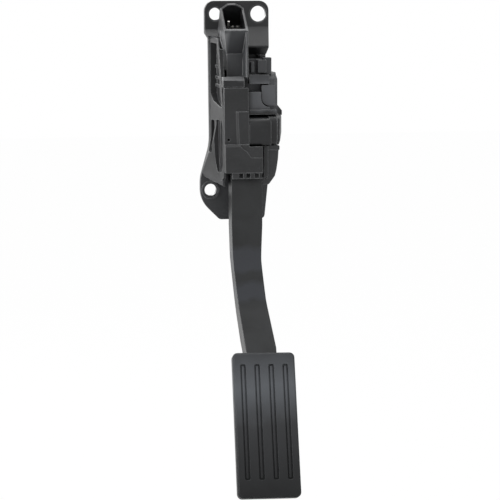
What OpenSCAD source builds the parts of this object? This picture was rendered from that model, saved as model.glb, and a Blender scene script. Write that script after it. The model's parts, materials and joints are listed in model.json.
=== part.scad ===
// Hanging accelerator pedal with an electronic position sensor.
// Millimetres. X points right as the driver sees it, Y points away from the driver and Z points up.
// The origin is on the rear mounting face, halfway between the two upper bolts.
// A depth is measured forward from the mounting face, so a depth of 30 lies at y = -30.

/* [Mounting flange] */
// Distance between the two upper bolts
bolt_spacing = 32; // [30:0.5:36]
// How far the lower bolt lies below the upper two
lower_bolt_drop = 130; // [120:1:136]
// How far the lower bolt lies left of the centre line
lower_bolt_offset = 20.2; // [18:0.1:22]
// Bore of the upper left and the lower bush
bolt_bore = 9; // [6.5:0.1:9.5]
// Bore of the upper right bush, wider so that the pedal can be lined up
wide_bore = 11.5; // [9:0.1:12]
// Wall of the steel bushes
bush_wall = 0.8; // [0.6:0.1:1]
// Thickness of the flange
flange_t = 5; // [4:0.5:6]
// Width of the flange across its upper lobes
lobe_w = 47.6; // [46:0.2:52]
// Height of the flange above the upper bolts
lobe_rise = 9.5; // [9:0.5:12]
// Length of the flange below the lower bolt
flange_foot = 22.4; // [20:0.2:24]

/* [Housing] */
// Depth of the housing side walls
housing_depth = 43; // [41:0.5:46]
// Half width inside the housing
cavity_half = 13.8; // [13.7:0.1:14.4]
// Thickness of the left side wall at its front edge
left_wall = 1.8; // [1.6:0.1:2.6]
// Thickness of the right side wall
right_wall = 3.3; // [2.6:0.1:4]
// How far the left wall leans out at the flange
left_lean = 4.8; // [3.5:0.1:5]
// Depth of the pivot axis
pivot_depth = 26; // [25:0.5:28]
// How far the pivot axis lies below the upper bolts
pivot_drop = 84; // [82:0.5:88]
// Wall of the thin mouldings
skin = 2.2; // [1.8:0.1:2.6]

/* [Pivot] */
// Diameter of the pivot axle
axle_d = 8; // [6:0.5:9]
// Half the length of the pedal hub
hub_half = 12; // [11.4:0.1:12.2]
// Radius of the pedal hub
hub_r = 9.5; // [8.5:0.1:10.2]
// Wall of the plain bearing bushes
bearing_wall = 1.5; // [1:0.1:2]
// Thickness of the bearing flanges
bearing_flange = 1; // [0.6:0.1:1.4]

/* [Pedal arm] */
// Width of the straight part of the arm
arm_w = 22.4; // [20:0.2:24]
// How far the arm lies right of the centre line
arm_shift = 0.9; // [0:0.1:1.5]
// Wall of the ribbed arm
arm_wall = 2.6; // [2:0.1:3.2]
// Thickness of the ribs on the back of the arm
rib_t = 1.8; // [1.4:0.1:2.4]
// Travel of the pedal in degrees, for the height of the stops
travel = 18; // [14:1:18]

/* [Foot pad] */
// Width of the pad
pad_w = 44.6; // [38:0.2:50]
// Length of the pad
pad_len = 103; // [90:0.5:110]
// Thickness of the ribbed cover
pad_t = 4; // [3.5:0.1:5]
// Thickness of the foot plate under the cover
plate_t = 3.4; // [3:0.1:4]
// Lean of the pad away from upright
pad_tilt = 24.4; // [20:0.1:28]
// Turn of the pad in its own plane
pad_turn = 1.4; // [0:0.1:3]
// Number of lengthwise grooves
groove_count = 4; // [3:1:5]
// Width of a groove
groove_w = 4; // [3:0.1:5]
// Depth of a groove
groove_depth = 1.6; // [1:0.1:2.2]
// Distance between grooves
groove_pitch = 10.1; // [8:0.1:11]
// Plain margin above the grooves
groove_top = 8.5; // [6:0.5:14]
// Plain margin below the grooves
groove_bottom = 12.5; // [8:0.5:20]

/* [Connector] */
// Outer width of the connector shroud
shroud_w = 17.5; // [16.9:0.1:18]
// Outer height of the connector shroud
shroud_h = 22.8; // [21.8:0.1:23.2]
// Wall of the connector shroud
shroud_wall = 1.6; // [1.4:0.1:1.8]
// Depth of the socket
socket_depth = 17.5; // [14:0.5:18]
// Lean of the socket forward from upright
socket_lean = 44; // [43:0.5:46]
// Number of terminals in each of the two rows
pins_per_row = 3; // [2:1:3]
// Distance between terminals in a row
pin_pitch = 3.5; // [3:0.1:3.8]
// Distance between the two rows
row_pitch = 5; // [4:0.1:6]
// Width of a terminal
pin_w = 1.5; // [1:0.1:1.8]
// Thickness of a terminal
pin_t = 0.8; // [0.6:0.1:1]

/* [Springs] */
// Outer diameter of the outer return spring
outer_spring_d = 14; // [12:0.5:14.5]
// Outer diameter of the inner return spring
inner_spring_d = 8; // [6:0.5:9]
// Wire of the outer spring
outer_wire = 1.6; // [1.2:0.1:1.8]
// Wire of the inner spring
inner_wire = 1.2; // [0.8:0.1:1.4]
// Turns of the outer spring
outer_turns = 6; // [5:1:7]
// Turns of the inner spring
inner_turns = 7; // [6:1:9]

/* [Fits] */
// Radial clearance of a turning fit
turn_fit = 0.05; // [0.03:0.01:0.1]
// Radial clearance of a seated fit
seat_fit = 0.02; // [0.01:0.01:0.05]
// Gap between parts that lie side by side
side_gap = 0.3; // [0.2:0.05:0.4]

/* [Hidden] */
$fn = 64;
arc_steps = 6;
past = 1;
far = 140;
black_plastic = [0.17, 0.175, 0.18];
dark_plastic = [0.13, 0.135, 0.14];
rubber_black = [0.09, 0.09, 0.095];
steel = [0.62, 0.63, 0.65];

lobe_half = lobe_w / 2;
bolt_half = bolt_spacing / 2;
lower_z = -lower_bolt_drop;
flange_z = lower_z - flange_foot;
ear_rim = 7.6;
ear_low = 8.2;
ear_x = lower_bolt_offset + ear_rim;
ear_cut = flange_foot - ear_low;
left_edge = 21.2;
right_edge = 21.5;
notch_top = -25;
notch_low = -29.5;
flange_points = [
    [-lobe_half, lobe_rise],
    [lobe_half, lobe_rise],
    [lobe_half, notch_top],
    [right_edge, notch_low],
    [right_edge, lower_z + 17],
    [right_edge + 1.5, lower_z + 3],
    [right_edge - 1.1, flange_z],
    [ear_cut - ear_x, flange_z],
    [-ear_x, lower_z - ear_low],
    [-ear_x, lower_z + 9],
    [0.6 - left_edge, lower_z + 34.5],
    [-left_edge, -18],
    [-lobe_half, -14]
];
flange_radii = [7, 7, 1.5, 3, 12, 6, 3, 4, 21, 30, 45, 1, 1.5];

pivot_z = -pivot_drop;
left_out = cavity_half + left_wall;
left_back = left_out + left_lean;
right_out = cavity_half + right_wall;
housing_top = -16;
edge_top = -19;
edge_top_depth = 29;
bend_z = pivot_z + 11;
foot_z = pivot_z - 33;
mate_depth = 28;
mate_low = pivot_z - 10.2;
shell_side = [
    [0, housing_top],
    [flange_t, housing_top],
    [edge_top_depth - 3, housing_top - 1],
    [edge_top_depth, edge_top],
    [housing_depth, bend_z],
    [housing_depth, foot_z],
    [mate_depth + 2, foot_z - 5],
    [0, foot_z - 7]
];
shell_radii = [0, 0, 2, 2, 12, 4, 8, 0];
web_top = -36;
web_t = 3;
neck_depth = 8.2;
shelf_z = pivot_z - 12;
idle_depth = 10.5;
idle_peg_r = 1.5;
stop_peg_r = 2;
ramp_top = -9.6;

hub_gap = side_gap;
boss_x = hub_half + hub_gap + bearing_flange;
bearing_r = axle_d / 2 + turn_fit + bearing_wall;
left_bearing_end = cavity_half + 1;
rotor_x = right_out + side_gap;

spring_depth = 15.5;
spring_top = web_top - web_t - 2;
heel_top = pivot_z + 10;
shoe_t = 2.5;
spring_low = heel_top + shoe_t;

pad_x = 6;
pad_depth = 86.9;
pad_z = pivot_z - 153.1;

// The direction of a vector, one long
function unit(v) = v / norm(v);

// Points that round the corner at b, which lies between a and c
function corner(a, b, c, r) =
    r <= 0 ? [b] :
    let(
        u = unit(a - b),
        v = unit(c - b),
        half = acos(u * v) / 2,
        centre = b + unit(u + v) * r / sin(half),
        p = b + u * r / tan(half) - centre,
        q = b + v * r / tan(half) - centre,
        from = atan2(p.y, p.x),
        turn = (atan2(q.y, q.x) - from + 540) % 360 - 180
    )
    [for (i = [0 : arc_steps])
        let(a = from + turn * i / arc_steps)
        centre + r * [cos(a), sin(a)]];

// A closed outline with one radius for each corner
function rounded(points, radii) =
    let(n = len(points))
    [for (i = [0 : n - 1]) each corner(points[(i + n - 1) % n], points[i], points[(i + 1) % n], radii[i])];

// Twice the signed area of an outline
function area(points) =
    let(n = len(points))
    [for (i = [0 : n - 1]) points[i].x * points[(i + 1) % n].y - points[(i + 1) % n].x * points[i].y]
    * [for (i = [0 : n - 1]) 1];

// The outline moved inwards by t all round
function inset(points, t) =
    let(n = len(points), side = sign(area(points)))
    [for (i = [0 : n - 1])
        let(
            u = unit(points[i] - points[(i + n - 1) % n]),
            v = unit(points[(i + 1) % n] - points[i]),
            m = side * [-u.y, u.x],
            k = side * [-v.y, v.x]
        )
        points[i] + t * (m + k) / (1 + m * k)];

// Radii that go with an inset outline
function inset_radii(radii, t) = [for (r = radii) max(r - t, 0)];

// A four-sided outline
function rectangle(x0, x1, z0, z1) = [[x0, z0], [x1, z0], [x1, z1], [x0, z1]];

// Depth of the left wall's front edge at a height
function wall_edge(z) =
    z < bend_z ? housing_depth :
    edge_top_depth + (housing_depth - edge_top_depth) * (edge_top - z) / (edge_top - bend_z);

// Extrudes an outline of depth and height from x0 to x1
module side_slab(points, x0, x1) {
    translate([x1, 0, 0])
        rotate([0, 0, -90])
            rotate([90, 0, 0])
                linear_extrude(height = x1 - x0)
                    polygon(points);
}

// Extrudes an outline of width and height from depth d0 to depth d1
module front_slab(points, d0, d1) {
    translate([0, -d0, 0])
        rotate([90, 0, 0])
            linear_extrude(height = d1 - d0)
                polygon(points);
}

// A box between two widths, two depths and two heights
module block(x, d, z) {
    translate([x[0], -d[1], z[0]])
        cube([x[1] - x[0], d[1] - d[0], z[1] - z[0]]);
}

// A round bar along X at a depth and a height
module rod_x(d, z, x0, x1, r) {
    translate([x0, -d, z])
        rotate([0, 90, 0])
            cylinder(h = x1 - x0, r = r);
}

// A round bar along the depth
module rod_y(x, z, d0, d1, r) {
    translate([x, -d0, z])
        rotate([90, 0, 0])
            cylinder(h = d1 - d0, r = r);
}

// A round bar along Z
module rod_z(x, d, z0, z1, r) {
    translate([x, -d, z0])
        cylinder(h = z1 - z0, r = r);
}

// Housing

module housing_plan(from_z, to_z) {
    translate([0, 0, from_z])
        linear_extrude(height = to_z - from_z)
            polygon([
                [-left_back, 0],
                [-left_back, -flange_t],
                [-left_out, -housing_depth],
                [right_out, -housing_depth],
                [right_out, 0]
            ]);
}

// The flank spreads towards the ear that holds the lower bolt
module ear_flare() {
    flare = [
        [-cavity_half, lower_z + 68],
        [-left_out, lower_z + 64],
        [-left_edge + 0.7, lower_z + 38],
        [-ear_x + 1.4, lower_z + 14],
        [-ear_x + 3, lower_z + 10.5],
        [-cavity_half, lower_z + 6]
    ];
    intersection() {
        front_slab(flare, flange_t - past, housing_depth);
        translate([0, 0, lower_z])
            linear_extrude(height = 75)
                polygon([
                    [-cavity_half, 0],
                    [-ear_x + 1, -flange_t],
                    [-left_out, -housing_depth + 6],
                    [-cavity_half, -housing_depth + 6]
                ]);
    }
}

// The pod at the lower right, open below
module lower_pod() {
    pod_w = 8.5;
    pod_depth = housing_depth - 4;
    pod_low = foot_z - 5.8;
    pod = [
        [right_out - past, mate_low],
        [right_out + pod_w, mate_low],
        [right_out + pod_w - 0.7, mate_low - 10],
        [right_out + pod_w - 1.8, mate_low - 17.6],
        [right_out + pod_w - 3, foot_z + 0.4],
        [right_out + pod_w - 7, pod_low + 0.8],
        [right_out + 0.6, pod_low],
        [right_out - past, pod_low]
    ];
    pod_radii = [0, 1, 8, 8, 4, 2, 0, 0];
    lip_h = 3.4;
    lip = rectangle(cavity_half - 0.6, right_out + pod_w + 0.2, mate_low - lip_h, mate_low);
    difference() {
        union() {
            front_slab(rounded(pod, pod_radii), flange_t - past, pod_depth);
            front_slab(rounded(lip, [0, 0.8, 0.8, 0]), pod_depth - 2.5, pod_depth + 1.4);
            block([cavity_half - 0.6, right_out], [pod_depth - 2.5, pod_depth], [pod_low, mate_low]);
        }
        front_slab(
            rectangle(right_out, right_out + pod_w - skin - 2.6, pod_low - past, mate_low - skin - 0.6),
            flange_t + 2,
            pod_depth - skin - 0.5
        );
    }
}

// The sloping shoulder on the right and the low ramp on the left of the connector
module shoulder() {
    shoulder_depth = 16;
    shoulder_x = lobe_half - 1.7;
    ramp_depth = flange_t + 4.5;
    wedge = [
        [0, ramp_top],
        [flange_t, ramp_top],
        [shoulder_depth, notch_top + 1.7],
        [shoulder_depth, notch_top + 0.7],
        [flange_t + 4, notch_low],
        [0, notch_low]
    ];
    face = [
        [shroud_right, ramp_top + 4],
        [lobe_half, ramp_top + 4],
        [lobe_half, ramp_top],
        [shoulder_x, notch_top + 1.7],
        [shoulder_x, notch_top + 0.7],
        [right_edge - 0.3, notch_low],
        [shroud_right, notch_low]
    ];
    ramp = [
        [0, ramp_top - 1.8],
        [flange_t, ramp_top - 1.8],
        [ramp_depth, housing_top + 0.1],
        [ramp_depth, housing_top - 1.5],
        [0, housing_top - 1.5]
    ];
    intersection() {
        side_slab(rounded(wedge, [0, 0, 0.8, 0.5, 2, 0]), shroud_right, lobe_half);
        front_slab(face, 0, far);
    }
    intersection() {
        side_slab(ramp, -lobe_half - past, -cavity_half);
        front_slab(rounded(flange_points, flange_radii), 0, far);
    }
}

// The hollow side panel with its low cross ribs, and the tall pockets below it
module flank_cuts() {
    recess = [
        [flange_t + 2, edge_top - 1.5],
        [edge_top_depth - 3.5, edge_top - 2],
        [wall_edge(bend_z + 13) - 3.5, bend_z + 13],
        [housing_depth - 3.6, bend_z + 6.2],
        [pivot_depth + 5, bend_z + 7.3],
        [flange_t + 9.4, bend_z + 10.4],
        [flange_t + 2, bend_z + 15]
    ];
    floor_wall = 1.2;
    rib_rise = 1;
    front_pocket = [
        [pivot_depth + 6.8, pivot_z + 8],
        [housing_depth - 5.5, pivot_z + 8],
        [housing_depth - 1.8, pivot_z + 3],
        [housing_depth - 1.8, pivot_z - 24],
        [housing_depth - 7, pivot_z - 30],
        [pivot_depth + 6.8, pivot_z - 30]
    ];
    middle_pocket = [
        [pivot_depth - 3.5, pivot_z + 8],
        [pivot_depth + 8, pivot_z + 8],
        [pivot_depth + 8, pivot_z - 30],
        [pivot_depth + 3, pivot_z - 30],
        [pivot_depth - 0.5, pivot_z - 20]
    ];
    rear_pocket = [
        [flange_t + 3, pivot_z + 7],
        [pivot_depth - 8, pivot_z + 7],
        [pivot_depth - 4.5, pivot_z - 16.5],
        [flange_t + 8, pivot_z - 16.5],
        [flange_t + 3, pivot_z - 9]
    ];
    difference() {
        side_slab(rounded(recess, [2, 2, 6, 1.5, 20, 12, 2]), -left_back - past, -cavity_half - floor_wall);
        for (z = [-38, -46, -52])
            block(
                [-cavity_half - floor_wall - rib_rise, -cavity_half],
                [flange_t, housing_depth],
                [z - rib_t / 2, z + rib_t / 2]
            );
    }
    side_slab(rounded(front_pocket, [0, 2, 3, 5, 3, 0]), -ear_x - past, -cavity_half - floor_wall);
    side_slab(rounded(middle_pocket, [2, 0, 0, 2, 8]), -ear_x - past, -left_bearing_end - 1.4);
    side_slab(rounded(rear_pocket, [3, 2, 2, 3, 5]), -ear_x - past, -cavity_half - floor_wall - 0.6);
}

// Shallow ribbed cells that lighten the rear face, clear of the bolts
module rear_cells() {
    cell_w = 9.5;
    cell_h = 17;
    cell_top = -34;
    pitch_x = cell_w + 2;
    pitch_z = cell_h + 2;
    for (column = [-1 : 1])
        for (row = [0 : 3])
            front_slab(
                rounded(
                    rectangle(
                        column * pitch_x - cell_w / 2,
                        column * pitch_x + cell_w / 2,
                        cell_top - row * pitch_z - cell_h,
                        cell_top - row * pitch_z
                    ),
                    [1.5, 1.5, 1.5, 1.5]
                ),
                -past,
                flange_t - 2
            );
}

module pedal_housing() {
    color(black_plastic)
    difference() {
        union() {
            front_slab(rounded(flange_points, flange_radii), 0, flange_t);
            difference() {
                union() {
                    intersection() {
                        side_slab(rounded(shell_side, shell_radii), -left_back - past, right_out + past);
                        housing_plan(foot_z - 10, housing_top + past);
                    }
                    ear_flare();
                }
                block([-cavity_half, cavity_half], [flange_t, far], [foot_z - 20, web_top - web_t]);
                block([-cavity_half, far], [mate_depth, far], [mate_low, 10]);
                block([-cavity_half + 0.1, cavity_half], [neck_depth, far], [web_top, 10]);
                block([shroud_left - 0.3, cavity_half], [13, far], [notch_top, 10]);
                block([cavity_half - past, far], [flange_t, far], [notch_low, 10]);
            }
            lower_pod();
            shoulder();
            block(
                [-cavity_half - past, cavity_half + past],
                [flange_t - past, 15],
                [shelf_z - web_t, shelf_z]
            );
            rod_y(
                -lower_bolt_offset,
                lower_z,
                flange_t - past,
                flange_t + 0.8,
                bolt_bore / 2 + bush_wall + 1.4
            );
            rod_x(pivot_depth, pivot_z, -cavity_half - past, -boss_x, bearing_r + 2);
            rod_x(pivot_depth, pivot_z, boss_x, right_out, bearing_r + 2);
        }
        for (x = [-bolt_half, bolt_half])
            rod_y(x, 0, -past, flange_t + past, (x < 0 ? bolt_bore : wide_bore) / 2 + bush_wall + seat_fit);
        rod_y(-lower_bolt_offset, lower_z, -past, flange_t + past, bolt_bore / 2 + bush_wall + seat_fit);
        rod_x(pivot_depth, pivot_z, -left_bearing_end - 0.2, 0, bearing_r + seat_fit);
        rod_x(pivot_depth, pivot_z, 0, right_out + past, bearing_r + seat_fit);
        rod_z(0, idle_depth, shelf_z - 8, shelf_z + 2, idle_peg_r + seat_fit);
        rod_y(arm_shift, stop_z, -past, flange_t + past, stop_peg_r + seat_fit);
        for (p = screw_places)
            rod_x(p[0], p[1], cavity_half - past, right_out + past, screw_r + seat_fit);
        flank_cuts();
        rear_cells();
    }
}

module bush(x, z, bore) {
    color(steel)
    difference() {
        rod_y(x, z, 0, flange_t, bore / 2 + bush_wall);
        rod_y(x, z, -past, flange_t + past, bore / 2);
    }
}

module bush_upper_left() {
    bush(-bolt_half, 0, bolt_bore);
}

module bush_upper_right() {
    bush(bolt_half, 0, wide_bore);
}

module bush_lower() {
    bush(-lower_bolt_offset, lower_z, bolt_bore);
}

// Sensor housing with the connector

socket_x = -6.75;
shroud_x0 = socket_x - shroud_w / 2;
shroud_x1 = socket_x + shroud_w / 2;
shroud_left = shroud_x0 - 0.5;
shroud_right = shroud_x1 + 0.5;
rim_back = [31, 4.6];
socket_axis = [sin(socket_lean), cos(socket_lean)];
socket_side = [cos(socket_lean), -sin(socket_lean)];
shroud_len = 24;
plinth_depth = 31;
plinth_x = shroud_x0 + 4.1;
blade_foot = 2.6;
blade_tip = 9.5;
first_tip = 4.5;

// Points of a slice of the shroud between two distances along and across its axis
function shroud_slice(out, in, across0, across1) = [
    rim_back + socket_side * across0 - socket_axis * out,
    rim_back + socket_side * across1 - socket_axis * out,
    rim_back + socket_side * across1 - socket_axis * in,
    rim_back + socket_side * across0 - socket_axis * in
];

// Front view of the connector, drawn in by t: its left side runs in towards the foot
function connector_face(t) = [
    [shroud_x0 - 0.5 + t, 14],
    [shroud_x0 - 0.5 + t, 3],
    [shroud_x0 + t, -11.2],
    [plinth_x + t, -28.5],
    [plinth_x + t, -46],
    [shroud_x1 + 0.1 - t, -46],
    [shroud_x1 - t, -11.2],
    [shroud_x1 - 0.9 - t, 5],
    [shroud_x1 - 0.9 - t, 14]
];

chamber_x = right_out + side_gap;
chamber_end = 23;
lid_x = chamber_end + 1.6;
dome_x = lid_x + 2.4;
chamber_top = -41.5;
bulge_z = [pivot_z - 9.6, pivot_z + 11];
bulge_depth = housing_depth + 5;
chamber_points = [
    [10, chamber_top],
    [33.5, chamber_top],
    [38, chamber_top - 5.5],
    [38, bulge_z[1] + 2],
    [bulge_depth - 1, bulge_z[1]],
    [bulge_depth - 1, bulge_z[0]],
    [10, bulge_z[0]]
];
chamber_radii = [3, 3, 4, 1, 7, 6, 4];
screw_r = 1.6;
head_r = 3;
screw_places = [[14.5, chamber_top - 4.4], [23.5, chamber_top - 4.4], [13.8, pivot_z - 5]];

module at_socket() {
    translate([
        socket_x,
        -rim_back[0] - socket_side[0] * shroud_h / 2,
        rim_back[1] + socket_side[1] * shroud_h / 2
    ])
        rotate([socket_lean, 0, 0])
            children();
}

// The socket, the plinth that carries it and the plate under its right side
module connector_body() {
    plate_depth = housing_depth + 3.2;
    plate_low = -44.4;
    brow = [
        [-8.4, -1],
        [-8.2, 0.2],
        [-6.4, 2.2],
        [-4.2, 4.4],
        [1.2, 4.6],
        [4.6, 2.6],
        [7.2, 0.2],
        [7.2, -1]
    ];
    difference() {
        union() {
            intersection() {
                front_slab(connector_face(0), 0, far);
                union() {
                    side_slab(shroud_slice(0, shroud_len, 0, shroud_h), shroud_left - past, shroud_right);
                    side_slab([
                        rim_back + socket_side * 0.6 - socket_axis * (shroud_len + 1.5),
                        rim_back + socket_side * 0.6 - socket_axis * (shroud_len - 1),
                        rim_back - socket_axis * (shroud_len - 1) + socket_side * (shroud_h - 0.6),
                        [plinth_depth, -28.3],
                        [plinth_depth, -45.2],
                        [mate_depth, -45.2],
                        [mate_depth, web_top + 0.3],
                        [8.6, web_top + 0.3],
                        [8.6, -17]
                    ], 0.2 - cavity_half, shroud_right);
                    side_slab([
                        [plinth_depth + past, -24],
                        [plate_depth, -12],
                        [plate_depth, plate_low],
                        [plinth_depth - past, plate_low]
                    ], shroud_x1 - shroud_wall, shroud_right);
                }
            }
            front_slab([
                [shroud_x0 - 0.3, -12],
                [shroud_x0 - 0.3, -18.4],
                [0.3 - cavity_half, notch_top - 0.3],
                [0.3 - cavity_half, -33],
                [plinth_x - 1.2, -40],
                [plinth_x + past, -40],
                [plinth_x + past, -12]
            ], mate_depth, mate_depth + 1.5);
            ledge();
        }
        intersection() {
            at_socket()
                translate([-shroud_w, shroud_wall - shroud_h / 2, -socket_depth])
                    cube([2 * shroud_w, shroud_h - 2 * shroud_wall, socket_depth + 8]);
            front_slab(connector_face(shroud_wall), 0, far);
        }
        terminals(seat_fit);
    }
    at_socket()
        translate([0, shroud_h / 2, 0])
            rotate([90, 0, 0])
                linear_extrude(height = shroud_wall)
                    polygon(brow);
}

// The bevelled ledge between the connector and the front cover
module ledge() {
    ledge_low = cover_top + 0.4;
    ledge_right = shroud_x1 - shroud_wall - 1;
    front = wall_edge(ledge_low) + 0.3;
    side_slab([
        [front, -44.9],
        [housing_depth - 0.2, -44.3],
        [housing_depth + 2, -46.4],
        [housing_depth + 2, ledge_low],
        [front, ledge_low]
    ], -left_out - 0.4, ledge_right);
    block([0.2 - cavity_half, ledge_right - 0.2], [mate_depth, front + past], [ledge_low + 0.2, -45]);
}

// The blades of the connector, grown by a clearance for their slots; one blade is longer and mates first
module terminals(grow) {
    at_socket()
        for (column = [0 : pins_per_row - 1])
            for (row = [-0.5, 0.5])
                translate([
                    (column - (pins_per_row - 1) / 2) * pin_pitch - pin_w / 2 - grow,
                    row * row_pitch - pin_t / 2 - grow,
                    -socket_depth - blade_foot - grow
                ])
                    cube([
                        pin_w + 2 * grow,
                        pin_t + 2 * grow,
                        socket_depth + blade_foot + grow - (column == 0 && row > 0 ? first_tip : blade_tip)
                    ]);
}

// The wing right of the connector with its fins, blocks and rounded corner
module sensor_wing() {
    corner_x = 12.9;
    corner_z = -65.5;
    gap = 0.8;
    block([1, chamber_x + past], [mate_depth, 31], [-68, -32]);
    block([14.8, 20.6], [mate_depth, 36], [chamber_top - past, -31]);
    block([10.4, 16.5], [mate_depth, 38.5], [-41.6, -32.6]);
    block([5.6, 7.8], [mate_depth, 37.5], [-41.6, -34]);
    block([3.9, chamber_x + past], [mate_depth, 40], [-49.6, -43]);
    difference() {
        block([2.6, chamber_x + past], [mate_depth, 42], [-68.1, -55.3]);
        front_slab(
            rounded(rectangle(corner_x - gap, chamber_end, corner_z - gap, -50), [5.5 + gap, 0, 0, 0]),
            31,
            far
        );
    }
    front_slab(rounded(rectangle(corner_x, chamber_end, corner_z, -50.6), [5.5, 0, 0, 0]), mate_depth, 39.5);
    block([3, chamber_end], [mate_depth, 44.4], [bulge_z[1] + 1.6, bulge_z[1] + 5]);
}

module sensor_bulge() {
    bulge = [
        [mate_depth, bulge_z[0]],
        [mate_depth, bulge_z[1]],
        [bulge_depth, bulge_z[1]],
        [bulge_depth, bulge_z[0]]
    ];
    radii = [0, 0, 7, 2.5];
    difference() {
        side_slab(rounded(bulge, radii), 2.6, chamber_x + past);
        side_slab(rounded(inset(bulge, skin), inset_radii(radii, skin)), 2.6 + skin, chamber_x - 1.6);
        block(
            [2.6 + skin, cavity_half - 0.4],
            [mate_depth - past, bulge_depth - skin],
            [bulge_z[0] - past, pivot_z]
        );
        block(
            [2.6 + skin, chamber_x - 1.6],
            [mate_depth - past, mate_depth + skin + past],
            [bulge_z[0] + skin, bulge_z[1] - skin]
        );
        rod_x(pivot_depth, pivot_z, 0, chamber_x - 1.6, hub_r + 0.8);
        rod_x(pivot_depth, pivot_z, 0, chamber_x, bearing_r + 2 + side_gap);
        side_slab(rounded(inset(arm_side, -1), arm_side_radii), 0, 2.7 + skin);
    }
}

module sensor_housing() {
    floor_x = chamber_x + 1.8;
    color(black_plastic)
    difference() {
        union() {
            connector_body();
            difference() {
                union() {
                    side_slab(rounded(chamber_points, chamber_radii), chamber_x, chamber_end);
                    sensor_wing();
                }
                side_slab(
                    rounded(inset(chamber_points, skin), inset_radii(chamber_radii, skin)),
                    floor_x,
                    chamber_end + past
                );
            }
            sensor_bulge();
            for (p = screw_places)
                rod_x(p[0], p[1], chamber_x, chamber_end, screw_r + 1.8);
            for (p = board_posts)
                rod_x(p[0], p[1], floor_x - past, board_x, 1.8);
        }
        side_slab(
            rounded(inset(chamber_points, skin / 2), inset_radii(chamber_radii, skin / 2)),
            chamber_end - 0.8,
            chamber_end + past
        );
        rod_x(pivot_depth, pivot_z, chamber_x - past, floor_x + past, rotor_r + side_gap);
        for (p = screw_places)
            rod_x(p[0], p[1], chamber_x - past, chamber_end + past, screw_r + seat_fit);
    }
}

module terminal_pins() {
    color([0.78, 0.72, 0.5])
        terminals(0);
}

board_x = 20.4;
board_t = 1.2;
rotor_r = 8.4;
// The third post stands between the rotor bore and the front wall of the chamber
low_post = (pivot_depth + rotor_r + side_gap + bulge_depth - 1 - skin) / 2 - 1.75;
board_posts = [[32, chamber_top - 7.5], [14, -60], [low_post, pivot_z - 4]];
rotor_end = board_x - 1;
magnet_t = 1.3;

module sensor_board() {
    board = [
        [13.2, chamber_top - 8.8],
        [27.8, chamber_top - 8.8],
        [27.8, chamber_top - 3.1],
        [32.2, chamber_top - 3.1],
        [35, chamber_top - 7.2],
        [35, bulge_z[1] - 0.4],
        [bulge_depth - 4.2, bulge_z[1] - 3],
        [bulge_depth - 4.2, bulge_z[0] + 3.4],
        [19.5, bulge_z[0] + 3.4],
        [19.5, pivot_z - 0.6],
        [13.2, pivot_z - 0.6]
    ];
    color([0.08, 0.32, 0.2])
    difference() {
        side_slab(rounded(board, [1, 1, 1, 1, 1, 2, 4, 4, 1, 1, 1]), board_x, board_x + board_t);
        for (p = board_posts)
            rod_x(p[0], p[1], board_x - past, board_x + board_t + past, 1.2);
    }
}

module hall_sensors() {
    color(dark_plastic)
        for (side = [-1, 1])
            block(
                [board_x - 0.7, board_x],
                [pivot_depth + side * 3.4 - 2, pivot_depth + side * 3.4 + 2],
                [pivot_z - 2.2, pivot_z + 2.2]
            );
}

module magnet_carrier() {
    color([0.78, 0.76, 0.7])
    difference() {
        rod_x(pivot_depth, pivot_z, rotor_x, rotor_end, rotor_r);
        rod_x(pivot_depth, pivot_z, rotor_x - past, rotor_end + past, axle_d / 2 - 1 + seat_fit);
        magnets(seat_fit);
    }
}

module magnets(grow) {
    for (side = [-1, 1])
        block(
            [rotor_end - magnet_t - grow, rotor_end + (grow > 0 ? past : 0)],
            [pivot_depth + side * 5.6 - 1.5 - grow, pivot_depth + side * 5.6 + 1.5 + grow],
            [pivot_z - 4 - grow, pivot_z + 4 + grow]
        );
}

module rotor_magnets() {
    color([0.35, 0.36, 0.38])
        magnets(0);
}

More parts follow.
